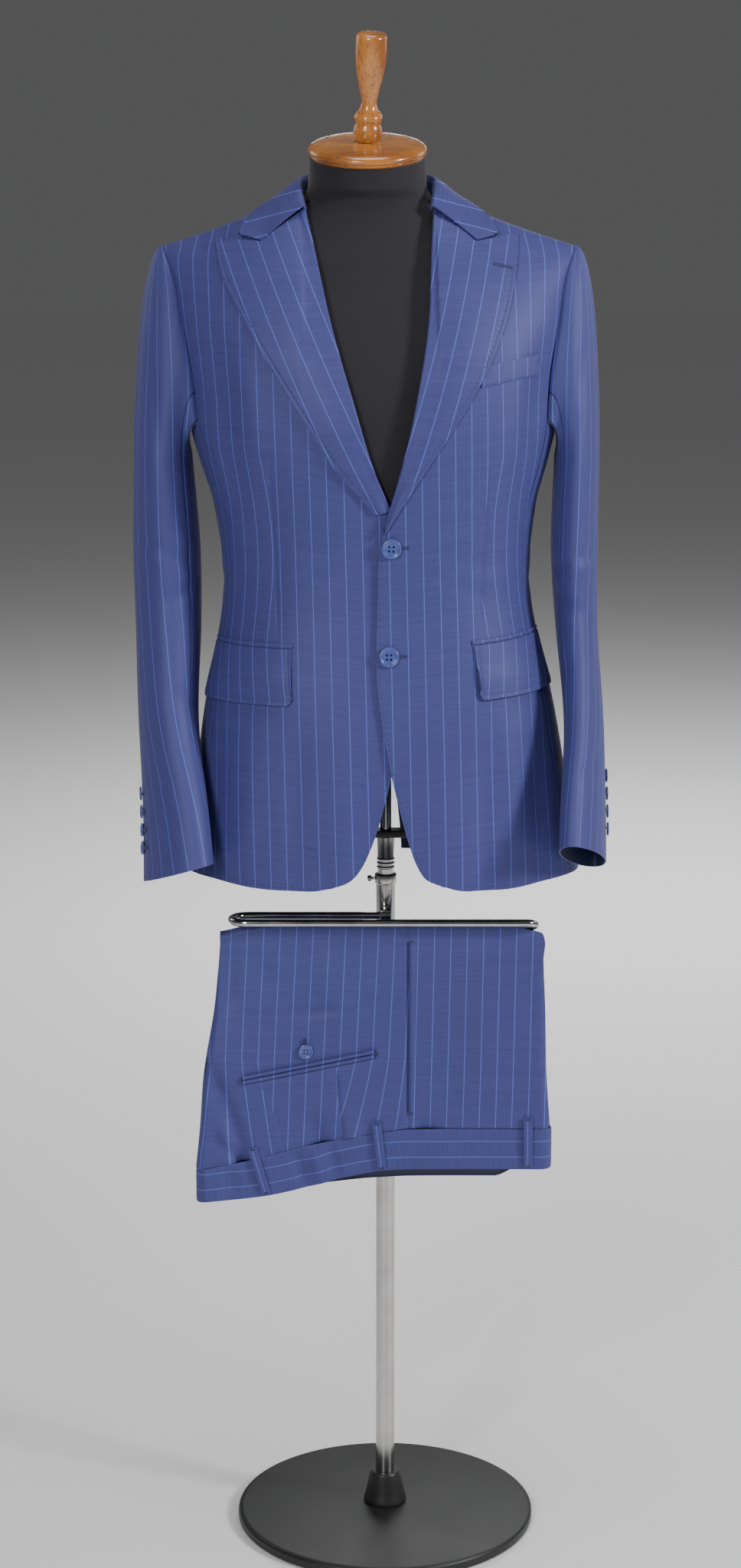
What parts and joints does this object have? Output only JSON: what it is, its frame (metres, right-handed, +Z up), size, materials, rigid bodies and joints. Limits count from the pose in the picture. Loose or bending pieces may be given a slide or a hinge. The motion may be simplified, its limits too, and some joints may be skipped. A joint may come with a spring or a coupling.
{
  "type": "suit on dress form stand",
  "caption": "Pinstripe peak-lapel suit: the jacket buttoned on a limbless dress form, the trousers folded over the stand's rail.",
  "frame": {"origin": "centre of the base's flat underside, on the pole's axis", "axes": "+Z up along the pole, -Y to the jacket's front, +X to the wearer's left"},
  "size_m": [0.5064, 0.332, 1.6304],
  "materials": {
    "suit_cloth": "worsted wool with light pinstripes, soft sheen",
    "button": "polished",
    "form_cover": "matte jersey",
    "turned_wood": "glossy lacquer",
    "chrome": "polished, a little dark",
    "black_metal": "satin black"
  },
  "bodies": {
    "root": {"jacket_front_left": "suit_cloth", "jacket_front_right": "suit_cloth", "jacket_side_left": "suit_cloth", "jacket_side_right": "suit_cloth", "jacket_back_left": "suit_cloth", "jacket_back_right": "suit_cloth", "lapel_left": "suit_cloth", "lapel_right": "suit_cloth", "collar": "suit_cloth", "pocket_flap_left": "suit_cloth", "pocket_flap_right": "suit_cloth", "pocket_jet_left": "suit_cloth", "pocket_jet_right": "suit_cloth", "breast_pocket_welt": "suit_cloth", "sleeve_left_top": "suit_cloth", "sleeve_left_under": "suit_cloth", "sleeve_right_top": "suit_cloth", "sleeve_right_under": "suit_cloth", "trouser_back_left": "suit_cloth", "trouser_front_left": "suit_cloth", "trouser_back_right": "suit_cloth", "trouser_front_right": "suit_cloth", "waistband": "suit_cloth", "belt_loop_1": "suit_cloth", "belt_loop_2": "suit_cloth", "belt_loop_3": "suit_cloth", "back_pocket_jet_lower": "suit_cloth", "back_pocket_jet_upper": "suit_cloth", "trouser_legs_folded": "suit_cloth", "front_button_1": "button", "front_button_2": "button", "pocket_button": "button", "cuff_button_left_1": "button", "cuff_button_left_2": "button", "cuff_button_left_3": "button", "cuff_button_left_4": "button", "cuff_button_right_1": "button", "cuff_button_right_2": "button", "cuff_button_right_3": "button", "cuff_button_right_4": "button", "dress_form": "form_cover", "neck_cap": "turned_wood", "finial": "turned_wood", "stand_lower_tube": "chrome", "stand_clamp": "chrome", "stand_upper_tube": "chrome", "stand_rod": "chrome", "clamp_screw": "chrome", "trouser_bar": "chrome", "bar_lug": "chrome", "crossbar": "black_metal", "stand_base": "black_metal", "stand_socket": "black_metal"}
  },
  "joints": []
}
